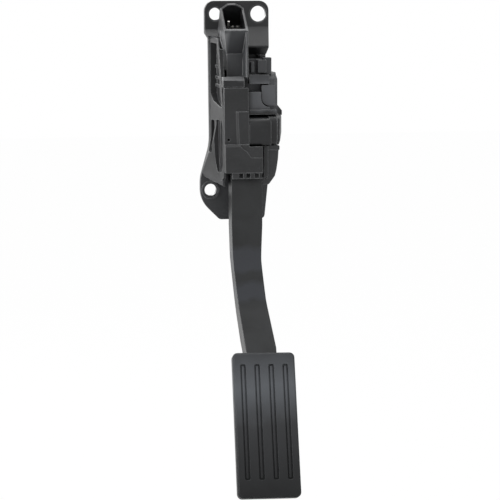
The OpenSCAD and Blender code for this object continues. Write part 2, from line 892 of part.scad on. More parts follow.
// The lid of the sensor, with a raised round end over the pivot
module sensor_cover() {
    dome_depth = bulge_depth - 1.2;
    dome = [
        [13, bulge_z[0]],
        [13, bulge_z[1] + 2.2],
        [dome_depth, bulge_z[1] + 0.4],
        [dome_depth, bulge_z[0]]
    ];
    dome_radii = [7, 4, 6, 6];
    color(dark_plastic)
    difference() {
        union() {
            intersection() {
                side_slab(rounded(chamber_points, chamber_radii), chamber_end, lid_x);
                front_slab([
                    [chamber_end - past, chamber_top + past],
                    [chamber_end - past, bulge_z[0] - past],
                    [lid_x + past, bulge_z[0] - past],
                    [lid_x + past, chamber_top - 8],
                    [chamber_end + 0.2, chamber_top + past]
                ], 0, far);
            }
            intersection() {
                side_slab(rounded(dome, dome_radii), lid_x - past, dome_x);
                front_slab([
                    [lid_x - past, bulge_z[1] + 3],
                    [dome_x - 0.3, bulge_z[1] + 3],
                    [dome_x, bulge_z[1] - 1],
                    [dome_x, pivot_z - 0.5],
                    [dome_x - 2, pivot_z - 7],
                    [dome_x - 2.2, bulge_z[0]],
                    [lid_x - past, bulge_z[0]]
                ], 0, far);
                translate([0, 0, bulge_z[0] - past])
                    linear_extrude(height = 40)
                        polygon([
                            [lid_x - past, 0],
                            [dome_x, 0],
                            [dome_x, -41],
                            [lid_x + 0.3, -dome_depth],
                            [lid_x - past, -dome_depth]
                        ]);
            }
            front_slab([
                [lid_x - past, bulge_z[1] + 0.2],
                [dome_x + 2.2, bulge_z[1] + 0.2],
                [dome_x + 2.2, bulge_z[1] + 3.4],
                [lid_x + 0.4, bulge_z[1] + 8.6],
                [lid_x - past, bulge_z[1] + 8.6]
            ], 25, 31);
            for (p = screw_places)
                rod_x(p[0], p[1], chamber_end, lid_x + 1, screw_r + 2.2);
        }
        difference() {
            side_slab(
                rounded(inset(chamber_points, skin + 0.2), inset_radii(chamber_radii, skin + 0.2)),
                chamber_end - past,
                chamber_end + 0.3
            );
            for (p = screw_places)
                rod_x(p[0], p[1], chamber_end - 2 * past, lid_x, screw_r + 2.2);
        }
        side_slab(
            rounded(inset(dome, 2 * skin), inset_radii(dome_radii, 2 * skin)),
            chamber_end,
            dome_x - 1.6
        );
        for (p = screw_places) {
            rod_x(p[0], p[1], chamber_end - past, dome_x, screw_r + seat_fit);
            rod_x(p[0], p[1], lid_x - 0.6, dome_x + past, head_r + side_gap);
        }
    }
}

module cover_seal() {
    color(rubber_black)
    difference() {
        side_slab(
            rounded(inset(chamber_points, skin / 2 + 0.1), inset_radii(chamber_radii, skin / 2 + 0.1)),
            chamber_end - 0.8,
            chamber_end
        );
        side_slab(
            rounded(inset(chamber_points, skin), inset_radii(chamber_radii, skin)),
            chamber_end - 2,
            chamber_end + 2
        );
    }
}

module sensor_screws() {
    head_x = lid_x - 0.6;
    color(steel)
    for (p = screw_places)
        difference() {
            union() {
                rod_x(p[0], p[1], cavity_half + 0.2, head_x + 0.2, screw_r);
                rod_x(p[0], p[1], head_x, head_x + 2, head_r);
            }
            translate([head_x + 1, -p[0], p[1]])
                rotate([0, 90, 0])
                    cylinder(h = 2, r = 1.5, $fn = 6);
        }
}

// Front cover

cover_top = -52;
step_z = pivot_z - 8.5;
lip_z = foot_z + 4.3;
cover_left = -left_out + 0.2;
cover_right = cavity_half - 2;
step_depth = housing_depth + 7.4;
ridge_x = -4.5;
ridge_top = -69;
ridge_run = 2.4;
ridge_depth = housing_depth + 5.6;

// The cover's solid form, drawn in by t for its hollow back
module cover_shape(t) {
    back = housing_depth + 0.1 - t * 8;
    upper = [
        [wall_edge(cover_top) + 0.1 - t * 8, cover_top - t],
        [housing_depth + 2.6 - t, cover_top - t],
        [housing_depth + 4 - t, step_z - 6],
        [back, step_z - 6],
        [back, bend_z]
    ];
    ridge = [
        [housing_depth - t, ridge_top - t],
        [ridge_depth - 1.1 - t, ridge_top - t],
        [ridge_depth - t, step_z - 6],
        [housing_depth - t, step_z - 6]
    ];
    lower = [
        [back, step_z - t],
        [step_depth - 1.2 - t, step_z - t],
        [step_depth - t, step_z - 1.4 - t],
        [step_depth + 1.6 - t, lip_z - t * 6],
        [back, lip_z - t * 6]
    ];
    side_slab(upper, cover_left + t, 2.3 - t);
    intersection() {
        side_slab(ridge, ridge_x - ridge_run, 2.3 - t);
        translate([0, 0, step_z - 7])
            linear_extrude(height = 50)
                polygon([
                    [ridge_x - ridge_run + t, -housing_depth + skin + past],
                    [ridge_x - ridge_run + t, t - ridge_depth + ridge_run],
                    [ridge_x + t, t - ridge_depth],
                    [3, -ridge_depth - past],
                    [3, -housing_depth + skin + past]
                ]);
    }
    intersection() {
        side_slab(lower, cover_left + t, cover_right - t / 2);
        front_slab([
            [cover_left - past, step_z - t],
            [2.3 - t, step_z - t],
            [2.3 - t, bulge_z[0] - 0.4 - t],
            [cover_right + past, bulge_z[0] - 0.4 - t],
            [cover_right + past, lip_z - 20],
            [cover_left - past, lip_z - 20]
        ], 0, far);
    }
}

module front_cover() {
    notches = [-4.1, 1, 7.2, 11];
    notch_w = 3;
    color(black_plastic)
    difference() {
        union() {
            difference() {
                cover_shape(0);
                cover_shape(skin);
            }
            block([-10.5, cover_right], [step_depth - 1.2, step_depth + 1.2], [lip_z - 4.3, lip_z + past]);
        }
        intersection() {
            side_slab([
                [ridge_depth + 0.3, step_z + past],
                [step_depth + 0.5, step_z - 9.5],
                [far, step_z - 9.5],
                [far, step_z + past]
            ], ridge_x - 1, cover_right + past);
            front_slab([
                [ridge_x - 0.5, step_z + past],
                [ridge_x - 0.1, step_z - 1],
                [ridge_x + 2.5, step_z - 3.6],
                [ridge_x + 5.1, step_z - 5.3],
                [ridge_x + 8, step_z - 10],
                [cover_right + past, step_z - 10],
                [cover_right + past, step_z + past]
            ], 0, far);
        }
        side_slab(rounded(inset(arm_side, -1.2), arm_side_radii), arm_left - past, cover_right + past);
        for (x = notches)
            block([x - notch_w / 2, x + notch_w / 2], [housing_depth, far], [lip_z - 3.6, lip_z - 0.4]);
        rod_y(-12.4, step_z + 3.4, housing_depth - 3, far, 1);
    }
}

// Pivot

module pivot_axle() {
    flat_end = axle_d / 2 - 1;
    color(steel)
    union() {
        rod_x(pivot_depth, pivot_z, -left_bearing_end, right_out - 0.2, axle_d / 2);
        rod_x(pivot_depth, pivot_z, right_out - past, rotor_end, flat_end);
    }
}

module bearing(side, end) {
    from = hub_half + hub_gap;
    color([0.72, 0.6, 0.34])
    difference() {
        union() {
            rod_x(
                pivot_depth,
                pivot_z,
                min(side * from, side * end),
                max(side * from, side * end),
                bearing_r
            );
            rod_x(
                pivot_depth,
                pivot_z,
                min(side * from, side * (from + bearing_flange)),
                max(side * from, side * (from + bearing_flange)),
                bearing_r + 1.8
            );
        }
        rod_x(pivot_depth, pivot_z, -40, 40, axle_d / 2 + turn_fit);
    }
}

module pivot_bush_left() {
    bearing(-1, left_bearing_end);
}

module pivot_bush_right() {
    bearing(1, right_out - 0.2);
}

// Pedal arm

arm_back = 30;
arm_front = housing_depth + 3;
arm_left = arm_shift - arm_w / 2;
arm_right = arm_shift + arm_w / 2;
neck_low = pivot_z - 40;
arm_bend = pivot_z - 93;
pad_down = [sin(pad_tilt), -cos(pad_tilt)];
pad_out = [cos(pad_tilt), sin(pad_tilt)];

// A point behind the pad, by its distance down from the top edge and its distance behind the face
function behind_pad(down, behind) = [pad_depth, pad_z] + pad_down * down - pad_out * behind;

arm_side = [
    [pivot_depth - 4, pivot_z - 2],
    [pivot_depth + hub_r - 1.2, pivot_z + 2],
    [arm_front - 5, pivot_z - 18],
    [arm_front, neck_low],
    [arm_front, arm_bend],
    [arm_front + 12, arm_bend - 29],
    behind_pad(-0.5, pad_t + 0.6),
    behind_pad(pad_len - 6, pad_t + 1),
    behind_pad(pad_len - 6, pad_t + 5),
    behind_pad(24, pad_t + 20),
    [arm_back + 13.5, arm_bend - 40],
    [arm_back, arm_bend],
    [arm_back, neck_low - 4],
    [arm_back - 3, pivot_z - 18]
];
arm_side_radii = [2, 2, 8, 14, 60, 70, 2, 2, 2, 16, 60, 60, 10, 8];
arm_face = [
    [arm_left, pivot_z + 12],
    [arm_left, neck_low - 28],
    [arm_left + 0.7, arm_bend],
    [arm_left + 2.4, arm_bend - 28],
    [arm_left + 4.6, pad_z + 1.5],
    [pad_x - 8, pad_z - 30],
    [pad_x - 8, pad_z - pad_len],
    [pad_x + 5, pad_z - pad_len],
    [pad_x + 8, pad_z - 30],
    [arm_right + 4.3, pad_z + 1.5],
    [arm_right + 0.7, arm_bend - 28],
    [arm_right - 1, arm_bend],
    [arm_right, neck_low - 28],
    [arm_right, pivot_z + 12]
];
arm_face_radii = [0, 30, 40, 60, 10, 8, 0, 0, 8, 10, 60, 40, 30, 0];
stop_z = pivot_z - 56;
stop_r = 4;

module arm_blank() {
    intersection() {
        side_slab(rounded(arm_side, arm_side_radii), -30, 30);
        front_slab(rounded(arm_face, arm_face_radii), 0, far);
    }
}

// The hollow in the back of the arm, before its ribs
module arm_hollow() {
    hollow = [
        [arm_front - arm_wall - 2, neck_low + 8],
        [arm_front - arm_wall, neck_low],
        [arm_front - arm_wall, arm_bend],
        [arm_front + 12 - arm_wall, arm_bend - 29 - 1],
        behind_pad(-0.5, pad_t + 0.6) - [arm_wall + 1, arm_wall],
        behind_pad(26, pad_t + plate_t + 3),
        behind_pad(36, pad_t + 40),
        [arm_back - 20, arm_bend - 60],
        [arm_back - 20, neck_low + 8]
    ];
    intersection() {
        side_slab(rounded(hollow, [2, 10, 60, 60, 4, 2, 0, 0, 0]), -30, 30);
        front_slab(rounded(inset(arm_face, arm_wall), inset_radii(arm_face_radii, arm_wall)), 0, far);
    }
}

module brace(z0, z1) {
    front_slab([
        [-20, z0 - rib_t * 0.6],
        [-20, z0 + rib_t * 0.6],
        [30, z1 + rib_t * 0.6],
        [30, z1 - rib_t * 0.6]
    ], 0, far);
}

module arm_ribs() {
    pitch = 27;
    for (i = [0 : 4]) {
        brace(neck_low - 18 - i * pitch + 26, neck_low - 18 - i * pitch - 26);
        brace(neck_low - 18 - i * pitch - 26, neck_low - 18 - i * pitch + 26);
    }
    front_slab(rectangle(-20, 30, stop_z - stop_r - 2, stop_z + stop_r + 2), 0, far);
}

module at_pad() {
    translate([pad_x, -pad_depth, pad_z])
        rotate([-pad_tilt, 0, 0])
            rotate([0, pad_turn, 0])
                children();
}

// Outline of the pad in its own plane, drawn in by t
function pad_outline(t) = rounded(
    rectangle(-pad_w / 2 + t, pad_w / 2 - t, -pad_len + t, -t),
    [for (i = [0 : 3]) max(3.6 - t, 0.6)]
);

module pad_slab(points, from, to) {
    translate([0, to, 0])
        rotate([90, 0, 0])
            linear_extrude(height = to - from)
                polygon(points);
}

module pedal_arm() {
    color(black_plastic)
    difference() {
        union() {
            difference() {
                arm_blank();
                difference() {
                    arm_hollow();
                    arm_ribs();
                }
            }
            rod_x(pivot_depth, pivot_z, -hub_half, hub_half, hub_r);
            side_slab(
                rounded([
                    [8, heel_top],
                    [pivot_depth, heel_top],
                    [pivot_depth, pivot_z - 5],
                    [8, pivot_z - 5]
                ], [2, 0, 0, 3]),
                -9,
                9
            );
            at_pad() {
                pad_slab(pad_outline(2), pad_t, pad_t + plate_t);
                for (down = [26, 50, 74])
                    pad_slab(
                        rectangle(-pad_w / 2 + 5, pad_w / 2 - 5, -down - 0.9, -down + 0.9),
                        pad_t + 1,
                        pad_t + plate_t + 3.4
                    );
            }
        }
        rod_x(pivot_depth, pivot_z, -hub_half - past, hub_half + past, axle_d / 2 + seat_fit);
    }
}

// The ribbed cover that wraps the edge of the foot plate
module pedal_pad() {
    groove_span = (groove_count - 1) * groove_pitch;
    edge = 1;
    color(dark_plastic)
    at_pad()
        difference() {
            union() {
                pad_slab(pad_outline(0), edge, pad_t + plate_t - 0.6);
                pad_slab(pad_outline(edge * 0.4), edge * 0.35, pad_t);
                pad_slab(pad_outline(edge), 0, pad_t);
            }
            pad_slab(pad_outline(2 - seat_fit * 2), pad_t, pad_t + plate_t + past);
            pad_slab(
                rectangle(arm_left + 3.8 - pad_x, arm_right + 5 - pad_x, -3, past),
                pad_t,
                pad_t + plate_t + past
            );
            for (i = [0 : groove_count - 1])
                translate([i * groove_pitch - groove_span / 2, 0, 0])
                    pad_slab(
                        rounded(
                            rectangle(-groove_w / 2, groove_w / 2, -pad_len + groove_bottom, -groove_top),
                            [1.2, 1.2, 1.2, 1.2]
                        ),
                        -past,
                        groove_depth
                    );
        }
}

// Springs and stops

// A wire swept along a helix about the spring axis
module coil(radius, wire, turns, low, high) {
    sides = 8;
    steps = 18;
    n = turns * steps;
    rise = high - low - wire - 0.1;
    ring = [for (i = [0 : n])
        let(t = i / n, a = t * turns * 360, slope = atan(rise / (turns * 2 * PI * radius)))
        for (s = [0 : sides - 1])
            let(b = s * 360 / sides, out = radius + wire / 2 * cos(b), up = wire / 2 * sin(b))
            [
                out * cos(a) + up * sin(slope) * sin(a),
                out * sin(a) - up * sin(slope) * cos(a),
                low + wire / 2 + 0.05 + rise * t + up * cos(slope)
            ]
    ];
    walls = [for (i = [0 : n - 1])
        for (s = [0 : sides - 1])
            let(t = (s + 1) % sides)
            [i * sides + s, (i + 1) * sides + s, (i + 1) * sides + t, i * sides + t]
    ];
    polyhedron(
        points = ring,
        faces = concat(
            walls,
            [[for (s = [0 : sides - 1]) s]],
            [[for (s = [0 : sides - 1]) n * sides + sides - 1 - s]]
        )
    );
}

module spring_outer() {
    color(steel)
        translate([0, -spring_depth, 0])
            coil((outer_spring_d - outer_wire) / 2, outer_wire, outer_turns, spring_low, spring_top);
}

module spring_inner() {
    color(steel)
        translate([0, -spring_depth, 0])
            mirror([1, 0, 0])
                coil((inner_spring_d - inner_wire) / 2, inner_wire, inner_turns, spring_low, spring_top);
}

peg_r = inner_spring_d / 2 - inner_wire - 0.3;

module spring_shoe() {
    color([0.85, 0.83, 0.76])
    union() {
        rod_z(0, spring_depth, heel_top, spring_low, outer_spring_d / 2 + 0.4);
        rod_z(0, spring_depth, spring_low - past, spring_low + 5, peg_r);
    }
}

module spring_cap() {
    color([0.85, 0.83, 0.76])
    union() {
        rod_z(0, spring_depth, spring_top, web_top - web_t, outer_spring_d / 2 + 0.4);
        rod_z(0, spring_depth, spring_top - 5, spring_top + past, peg_r);
    }
}

// The rubber buffer under the heel that sets the rest position
module idle_stop() {
    color(rubber_black)
    union() {
        rod_z(0, idle_depth, shelf_z, pivot_z - 5 - side_gap, 3.5);
        rod_z(0, idle_depth, shelf_z - web_t + 0.2, shelf_z + past, idle_peg_r);
    }
}

// Depth of the pressed arm's back face at a height
function pressed_back(z) =
    pivot_depth + (arm_back - pivot_depth + (z - pivot_z) * sin(travel)) / cos(travel);

// The rubber buffer behind the arm that ends its travel
module travel_stop() {
    color(rubber_black)
    union() {
        rod_y(arm_shift, stop_z, flange_t, pressed_back(stop_z - stop_r) - side_gap, stop_r);
        rod_y(arm_shift, stop_z, 1, flange_t + past, stop_peg_r);
    }
}

pedal_housing();
bush_upper_left();
bush_upper_right();
bush_lower();
sensor_housing();
terminal_pins();
sensor_board();
hall_sensors();
magnet_carrier();
rotor_magnets();
sensor_cover();
cover_seal();
sensor_screws();
front_cover();
pivot_axle();
pivot_bush_left();
pivot_bush_right();
pedal_arm();
pedal_pad();
spring_outer();
spring_inner();
spring_shoe();
spring_cap();
idle_stop();
travel_stop();
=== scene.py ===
"""Accelerator pedal: rounded mouldings, procedural finishes, coil springs, studio and camera."""

import json
import logging
import math
from dataclasses import dataclass, field
from enum import Enum

import bmesh
import bpy
from mathutils import Matrix, Vector

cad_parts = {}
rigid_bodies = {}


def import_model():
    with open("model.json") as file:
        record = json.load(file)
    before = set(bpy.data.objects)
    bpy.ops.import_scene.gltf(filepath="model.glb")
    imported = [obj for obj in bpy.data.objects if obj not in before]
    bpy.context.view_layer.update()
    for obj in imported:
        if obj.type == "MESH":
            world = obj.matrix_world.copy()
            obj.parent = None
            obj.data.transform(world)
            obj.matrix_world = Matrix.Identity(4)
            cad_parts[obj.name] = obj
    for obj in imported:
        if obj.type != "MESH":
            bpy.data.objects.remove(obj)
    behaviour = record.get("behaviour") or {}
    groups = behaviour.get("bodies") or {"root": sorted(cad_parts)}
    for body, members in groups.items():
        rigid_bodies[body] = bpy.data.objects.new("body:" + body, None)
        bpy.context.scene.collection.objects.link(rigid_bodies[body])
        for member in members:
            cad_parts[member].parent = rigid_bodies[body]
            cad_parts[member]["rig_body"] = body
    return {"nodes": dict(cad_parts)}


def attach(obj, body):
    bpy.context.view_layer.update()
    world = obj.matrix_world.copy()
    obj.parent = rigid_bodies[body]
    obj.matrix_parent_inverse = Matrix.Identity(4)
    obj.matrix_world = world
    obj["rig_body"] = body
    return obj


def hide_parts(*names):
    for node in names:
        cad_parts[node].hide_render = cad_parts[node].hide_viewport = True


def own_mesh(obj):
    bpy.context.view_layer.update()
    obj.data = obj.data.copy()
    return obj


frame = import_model()

log = logging.getLogger("accelerator_pedal")

MM = 0.001
WELD = 0.002 * MM
FLAT = math.radians(0.2)

Place = tuple[float, float, float]
Tone = tuple[float, float, float]
Span = tuple[float, float]
Socket = bpy.types.NodeSocket
Outputs = bpy.types.NodeOutputs
Number = float | Socket
Colour = Tone | Socket


class Body(Enum):
    """The two rigid bodies of the pedal."""

    BASE = "base"
    PEDAL = "pedal"


class Finish(Enum):
    """Material slots of the record that pieces take their finish from."""

    HOUSING = "housing_plastic"
    SENSOR = "sensor_plastic"
    ARM = "arm_plastic"
    PAD = "pad_plastic"
    BUSH = "bush_steel"
    SCREW = "screw_steel"
    AXLE = "axle_steel"
    SPRING = "spring_steel"
    TERMINAL = "terminal_metal"
    MAGNET = "magnet_metal"
    BOARD = "board_laminate"
    CHIP = "chip_plastic"
    NATURAL = "natural_plastic"
    BEARING = "bearing_plastic"
    SEAL = "seal_rubber"


# Shader helpers


class NodeGraph:
    """Adds and links the nodes of one shader tree."""

    # Where the Mix node keeps its colours, among sockets of the same name for other types
    colour_sockets = (6, 7)
    colour_result = 2

    def __init__(self, tree: bpy.types.NodeTree) -> None:
        """Keeps the tree that nodes are added to.

        Args:
            tree: the node tree of a material, world or group.
        """
        self.tree = tree

    def add(self, kind: str, **settings: object) -> bpy.types.Node:
        """Adds a node.

        Args:
            kind: the node's type name without its ShaderNode prefix.
            settings: attributes of the node, and socket values under the sockets' own names.

        Returns:
            The new node.
        """
        node = self.tree.nodes.new(kind if kind.startswith("Node") else "ShaderNode" + kind)
        for name, value in settings.items():
            if hasattr(node, name):
                setattr(node, name, value)
            else:
                node.inputs[name.replace("_", " ")].default_value = value
        return node

    def link(self, source: Socket, target: Socket) -> None:
        """Links an output to an input."""
        self.tree.links.new(source, target)

    def feed(self, target: Socket, value: object) -> None:
        """Gives an input its value.

        Args:
            target: the input.
            value: a socket to link, a colour or a number.
        """
        if isinstance(value, Socket):
            self.link(value, target)
        elif isinstance(value, tuple):
            target.default_value = (*value, 1.0)
        else:
            target.default_value = value

    def math(self, operation: str, first: Number, second: Number = 0.0) -> Socket:
        """Adds a Math node.

        Args:
            operation: the node's operation.
            first: a socket or a number.
            second: a socket or a number.

        Returns:
            The node's output.
        """
        node = self.add("Math", operation=operation)
        for socket, value in zip(node.inputs, (first, second)):
            self.feed(socket, value)
        return node.outputs[0]

    def remap(self, value: Socket, span: Span = (0.0, 1.0), to: Span = (0.0, 1.0)) -> Socket:
        """Maps a range of a value to another and clamps it.

        Args:
            value: the socket to map.
            span: the two values that map to the ends.
            to: the two ends.

        Returns:
            The mapped output.
        """
        node = self.add("MapRange")
        self.link(value, node.inputs["Value"])
        for name, number in zip(("From Min", "From Max", "To Min", "To Max"), (*span, *to)):
            node.inputs[name].default_value = number
        return node.outputs["Result"]

    def place(self) -> Socket:
        """Gives the Object coordinates of the shaded point."""
        return self.add("TexCoord").outputs["Object"]

    def place_axes(self) -> Outputs:
        """Gives the Object coordinates as three numbers, under X, Y and Z."""
        split = self.add("SeparateXYZ")
        self.link(self.place(), split.inputs["Vector"])
        return split.outputs

    def noise(self, scale: float | Socket, detail: float, **settings: float) -> Socket:
        """Adds a noise on Object coordinates.

        Args:
            scale: waves in a metre, or their socket.
            detail: octaves.
            settings: more values of the texture, such as its distortion.

        Returns:
            The noise value, about 0.5 on average.
        """
        texture = self.add("TexNoise", Detail=detail, **settings)
        self.link(self.place(), texture.inputs["Vector"])
        self.feed(texture.inputs["Scale"], scale)
        return texture.outputs["Fac"]

    def blend(self, factor: Socket, low: Colour, high: Colour) -> Socket:
        """Mixes two colours.

        Args:
            factor: the share of the second colour.
            low: the first colour, or its socket.
            high: the second colour, or its socket.

        Returns:
            The mixed colour.
        """
        node = self.add("Mix", data_type="RGBA")
        self.link(factor, node.inputs["Factor"])
        self.feed(node.inputs[self.colour_sockets[0]], low)
        self.feed(node.inputs[self.colour_sockets[1]], high)
        return node.outputs[self.colour_result]


class EffectGroup:
    """A shader node group with named inputs and outputs, built once and shared by materials."""

    name = "effect"
    inputs: dict[str, float] = {}
    outputs: dict[str, str] = {}

    def __init__(self) -> None:
        """Builds the group's sockets and nodes."""
        self.tree = bpy.data.node_groups.new(self.name, "ShaderNodeTree")
        for label, value in self.inputs.items():
            socket = self.tree.interface.new_socket(
                label, in_out="INPUT", socket_type="NodeSocketFloat"
            )
            socket.default_value = value
        for label, kind in self.outputs.items():
            self.tree.interface.new_socket(label, in_out="OUTPUT", socket_type=kind)
        graph = NodeGraph(self.tree)
        entry = graph.add("NodeGroupInput")
        results = self.build(graph, entry.outputs)
        leave = graph.add("NodeGroupOutput")
        for label, socket in results.items():
            graph.link(socket, leave.inputs[label])

    def build(self, graph: NodeGraph, given: Outputs) -> dict[str, Socket]:
        """Makes the group's nodes.

        Args:
            graph: the group's tree.
            given: the group's input sockets.

        Returns:
            The socket that feeds each output.
        """
        raise NotImplementedError

    def place(self, graph: NodeGraph, **values: float) -> Outputs:
        """Places the group in a material with its own values.

        Args:
            graph: the material's tree.
            values: numbers for the group's inputs, with spaces written as underscores.

        Returns:
            The outputs of the placed group.
        """
        node = graph.add("Group", node_tree=self.tree)
        for label, value in values.items():
            node.inputs[label.replace("_", " ").capitalize()].default_value = value
        return node.outputs


class RoundedEdges(EffectGroup):
    """Shades sharp edges as if they had a small radius, and masks them for rub marks and a painted
    highlight along every edge.
    """

    name = "rounded_edges"
    inputs = {"Radius": 0.0005, "Rub scale": 300.0}
    outputs = {"Normal": "NodeSocketVector", "Rub highlight": "NodeSocketFloat"}
    edge_span = (0.995, 0.8)
    patch_detail = 4.0
    patch_span = (0.38, 0.62)
    patch_share = (0.55, 1.0)

    def build(self, graph: NodeGraph, given: Outputs) -> dict[str, Socket]:
        """Compares the rounded normal with the surface's own.

        Args:
            graph: the group's tree.
            given: radius and scale of the rub marks.

        Returns:
            The rounded normal and the mask of rub marks and painted edge highlight.
        """
        rounded = graph.add("Bevel", samples=6)
        graph.link(given["Radius"], rounded.inputs["Radius"])
        surface = graph.add("NewGeometry")
        same = graph.add("VectorMath", operation="DOT_PRODUCT")
        graph.link(rounded.outputs["Normal"], same.inputs[0])
        graph.link(surface.outputs["Normal"], same.inputs[1])
        edge = graph.remap(same.outputs["Value"], self.edge_span)
        # The mask keeps about half its strength or more along every edge, which paints a highlight
        # along each edge, with patchy rub marks on top.
        patches = graph.noise(given["Rub scale"], self.patch_detail)
        share = graph.remap(patches, self.patch_span, self.patch_share)
        return {"Normal": rounded.outputs["Normal"], "Rub highlight": graph.math("MULTIPLY", edge, share)}


class MouldGrain(EffectGroup):
    """The fine satin grain of a moulded surface, with the larger clouds of its flow."""

    name = "mould_grain"
    inputs = {"Grain scale": 2600.0, "Cloud scale": 45.0}
    outputs = dict.fromkeys(("Height", "Speckle", "Clouds"), "NodeSocketFloat")
    cell_share = 0.4
    speckle_span = (0.6, 0.72)
    cloud_span = (0.35, 0.65)

    def build(self, graph: NodeGraph, given: Outputs) -> dict[str, Socket]:
        """Makes grain, speckle and clouds from noises.

        Args:
            graph: the group's tree.
            given: scales of the grain and the clouds.

        Returns:
            Height of the grain, a speckle mask and a cloud mask.
        """
        fine = graph.noise(given["Grain scale"], 3.0, Roughness=0.6)
        clouds = graph.noise(given["Cloud scale"], 5.0, Distortion=0.6)
        cells = graph.add("TexVoronoi", feature="SMOOTH_F1")
        graph.link(graph.place(), cells.inputs["Vector"])
        graph.link(given["Grain scale"], cells.inputs["Scale"])
        pebbles = graph.math("MULTIPLY", cells.outputs["Distance"], self.cell_share)
        return {
            "Height": graph.math("ADD", fine, pebbles),
            "Speckle": graph.remap(fine, self.speckle_span),
            "Clouds": graph.remap(clouds, self.cloud_span),
        }


class SurfaceBand(EffectGroup):
    """Masks a band of heights between two sides, with soft ends that wander."""

    name = "surface_band"
    inputs = {"Low": -0.1, "High": 0.0, "Left": -1.0, "Right": 1.0, "Soft": 0.004}
    outputs = {"Mask": "NodeSocketFloat"}
    wander_scale = 70.0
    wander_detail = 3.0
    wander_in_fades = 3.0
    most_wander = 0.012

    def build(self, graph: NodeGraph, given: Outputs) -> dict[str, Socket]:
        """Measures how far a point lies inside the band.

        Args:
            graph: the group's tree.
            given: the ends and sides of the band and the length of its fade, in metres.

        Returns:
            The band's mask.
        """
        axes = graph.place_axes()
        fades = graph.math("MULTIPLY", given["Soft"], self.wander_in_fades)
        reach = graph.math("MINIMUM", fades, self.most_wander)
        swing = graph.math("SUBTRACT", graph.noise(self.wander_scale, self.wander_detail), 0.5)
        height = graph.math("ADD", axes["Z"], graph.math("MULTIPLY", swing, reach))
        between = self.depth_inside(graph, height, given["Low"], given["High"])
        across = self.depth_inside(graph, axes["X"], given["Left"], given["Right"])
        inside = graph.math("DIVIDE", graph.math("MINIMUM", between, across), given["Soft"])
        return {"Mask": graph.remap(inside, (-0.5, 0.5))}

    def depth_inside(self, graph: NodeGraph, value: Socket, low: Socket, high: Socket) -> Socket:
        """Measures how far a value lies from the nearer of two limits.

        Args:
            graph: the group's tree.
            value: the value.
            low: the lower limit.
            high: the upper limit.

        Returns:
            The distance, which is negative outside.
        """
        return graph.math(
            "MINIMUM", graph.math("SUBTRACT", value, low), graph.math("SUBTRACT", high, value)
        )


class DrawnLines(EffectGroup):
    """Fine lines left by turning, grinding or drawing a metal along one axis."""

    name = "drawn_lines"
    inputs = {"Scale": 700.0, "Along x": 1.0, "Along y": 1.0, "Along z": 1.0}
    outputs = dict.fromkeys(("Height", "Streaks"), "NodeSocketFloat")
    streak_span = (0.4, 0.62)

    def build(self, graph: NodeGraph, given: Outputs) -> dict[str, Socket]:
        """Stretches a noise along the tool's path.

        Args:
            graph: the group's tree.
            given: scale, and how much each axis is compressed.

        Returns:
            Height of the lines and a streak mask.
        """
        stretch = graph.add("CombineXYZ")
        for axis, label in zip("XYZ", ("Along x", "Along y", "Along z")):
            graph.link(given[label], stretch.inputs[axis])
        turn = graph.add("Mapping")
        graph.link(graph.place(), turn.inputs["Vector"])
        graph.link(stretch.outputs["Vector"], turn.inputs["Scale"])
        lines = graph.add("TexNoise", Detail=4.0, Roughness=0.55)
        graph.link(turn.outputs["Vector"], lines.inputs["Vector"])
        graph.link(given["Scale"], lines.inputs["Scale"])
        height = lines.outputs["Fac"]
        return {"Height": height, "Streaks": graph.remap(height, self.streak_span)}


@dataclass
class Effects:
    """The node groups that the finishes share."""

    edges: RoundedEdges = field(default_factory=RoundedEdges)
    grain: MouldGrain = field(default_factory=MouldGrain)
    band: SurfaceBand = field(default_factory=SurfaceBand)
    lines: DrawnLines = field(default_factory=DrawnLines)


# Finishes


def start_material(name: str) -> tuple[bpy.types.Material, NodeGraph, bpy.types.Node]:
    """Makes an empty node material.

    Args:
        name: the material's name.

    Returns:
        The material, its graph and its Principled shader, already linked to the output.
    """
    material = bpy.data.materials.new(name)
    material.use_nodes = True
    material.node_tree.nodes.clear()
    graph = NodeGraph(material.node_tree)
    shader = graph.add("BsdfPrincipled")
    output = graph.add("OutputMaterial")
    graph.link(shader.outputs["BSDF"], output.inputs["Surface"])
    return material, graph, shader


def spread(middle: float, ends: Span) -> Span:
    """Sets two ends about a value.

    Args:
        middle: the value.
        ends: how far each end lies from it.

    Returns:
        The two ends.
    """
    return middle + ends[0], middle + ends[1]


def add_bump(
    graph: NodeGraph, height: Socket, depth: float, base: Socket, shader: bpy.types.Node
) -> None:
    """Puts a bump over a rounded normal.

    Args:
        graph: the material's tree.
        height: the height socket.
        depth: the bump's distance in metres.
        base: the normal below it.
        shader: the Principled shader that takes the result.
    """
    bump = graph.add("Bump", Strength=1.0, Distance=depth)
    graph.link(height, bump.inputs["Height"])
    graph.link(base, bump.inputs["Normal"])
    graph.link(bump.outputs["Normal"], shader.inputs["Normal"])


@dataclass(frozen=True)
class PaintedLightBand:
    """A band of heights, between two sides if they are given, painted paler than the rest as
    painted light.
    """

    low: float
    high: float
    tone: Tone
    fade: float = 0.004
    left: float = -1.0
    right: float = 1.0

    def lay(self, graph: NodeGraph, effects: Effects, below: Colour) -> Socket:
        """Lays the band over a colour.

        Args:
            graph: the material's tree.
            effects: the shared node groups.
            below: the colour under the band, or its socket.

        Returns:
            The colour with the band.
        """
        sides = {"left": self.left, "right": self.right}
        band = effects.band.place(graph, low=self.low, high=self.high, soft=self.fade, **sides)
        return graph.blend(band["Mask"], below, self.tone)


